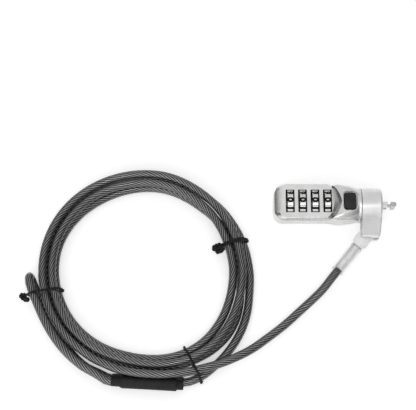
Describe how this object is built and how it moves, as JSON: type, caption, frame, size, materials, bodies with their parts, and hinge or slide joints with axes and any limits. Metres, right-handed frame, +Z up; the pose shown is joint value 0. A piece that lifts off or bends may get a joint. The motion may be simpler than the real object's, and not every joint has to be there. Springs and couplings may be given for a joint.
{
  "type": "laptop cable lock",
  "caption": "Combination laptop lock with turning dials, push button and swivel collar, on a coiled plastic-covered steel cable with an end loop and wire ties.",
  "frame": {"origin": "under the middle of the lock itself (head, collar and locking bar) on the surface that it lies on", "axes": "+X along the head towards the locking bar, +Y across the head away from the swivel fork, +Z up out of the dials"},
  "size_m": [0.2148, 0.1307, 0.0215],
  "materials": {
    "nickel": "satin nickel plate on die-cast zinc",
    "satin": "pale satin plate",
    "steel": "turned steel",
    "bright_steel": "bright stainless steel",
    "dial_silver": "silver with black digits",
    "brass": "plain",
    "black_button": "matte",
    "black_sleeve": "shrunk black sleeve",
    "black_tie": "plastic-covered wire",
    "clear_sheath": "clear",
    "cable": "steel rope in smoky clear plastic"
  },
  "bodies": {
    "cable": {"cable_eye": "bright_steel", "eye_ferrule": "bright_steel", "ferrule_sheath": "clear_sheath", "cable_coil": "cable", "cable_lead": "cable", "cable_tail": "cable", "cable_loop": "cable", "loop_sleeve": "black_sleeve", "loop_ferrule": "steel", "tie_left": "black_tie", "tie_right": "black_tie", "tie_bottom": "black_tie"},
    "collar": {"swivel_collar": "satin", "pivot_pin": "steel"},
    "head": {"housing": "nickel", "dial_cover": "nickel", "dial_spindle": "steel", "detent_spring": "steel", "button_spring": "steel", "nose_plug": "nickel"},
    "dial_one": {"dial_1": "dial_silver", "code_ring_1": "brass"},
    "dial_two": {"dial_2": "dial_silver", "code_ring_2": "brass"},
    "dial_three": {"dial_3": "dial_silver", "code_ring_3": "brass"},
    "dial_four": {"dial_4": "dial_silver", "code_ring_4": "brass"},
    "button": {"release_button": "black_button"},
    "bar": {"locking_bar": "bright_steel"}
  },
  "joints": [
    {"name": "cable_pivot", "type": "hinge", "parent": "cable", "child": "collar", "pos_m": [0.02, -0.01015, 0.0104], "axis": [0, 0, 1], "range_deg": [-119, 41]},
    {"name": "collar_spin", "type": "hinge", "parent": "collar", "child": "head", "pos_m": [0, 0.00455, 0.01], "axis": [1, 0, 0], "continuous": true},
    {"name": "dial_one_spin", "type": "hinge", "parent": "head", "child": "dial_one", "pos_m": [-0.0261, 0.00455, 0.0134], "axis": [1, 0, 0], "continuous": true},
    {"name": "dial_two_spin", "type": "hinge", "parent": "head", "child": "dial_two", "pos_m": [-0.019, 0.00455, 0.0134], "axis": [1, 0, 0], "continuous": true},
    {"name": "dial_three_spin", "type": "hinge", "parent": "head", "child": "dial_three", "pos_m": [-0.0119, 0.00455, 0.0134], "axis": [1, 0, 0], "continuous": true},
    {"name": "dial_four_spin", "type": "hinge", "parent": "head", "child": "dial_four", "pos_m": [-0.0048, 0.00455, 0.0134], "axis": [1, 0, 0], "continuous": true},
    {"name": "button_press", "type": "slide", "parent": "head", "child": "button", "axis": [0, 0, -1], "range_m": [0, 0.002], "stiffness_N_per_m": 200, "springref_m": -0.0005, "deforming": ["button_spring"]},
    {"name": "bar_turn", "type": "hinge", "parent": "head", "child": "bar", "pos_m": [0, 0.00455, 0.01], "axis": [1, 0, 0], "range_deg": [0, 90]}
  ],
  "couplings": [
    {"joint": "bar_turn", "follows": "button_press", "rad_per_m": 785.4}
  ]
}
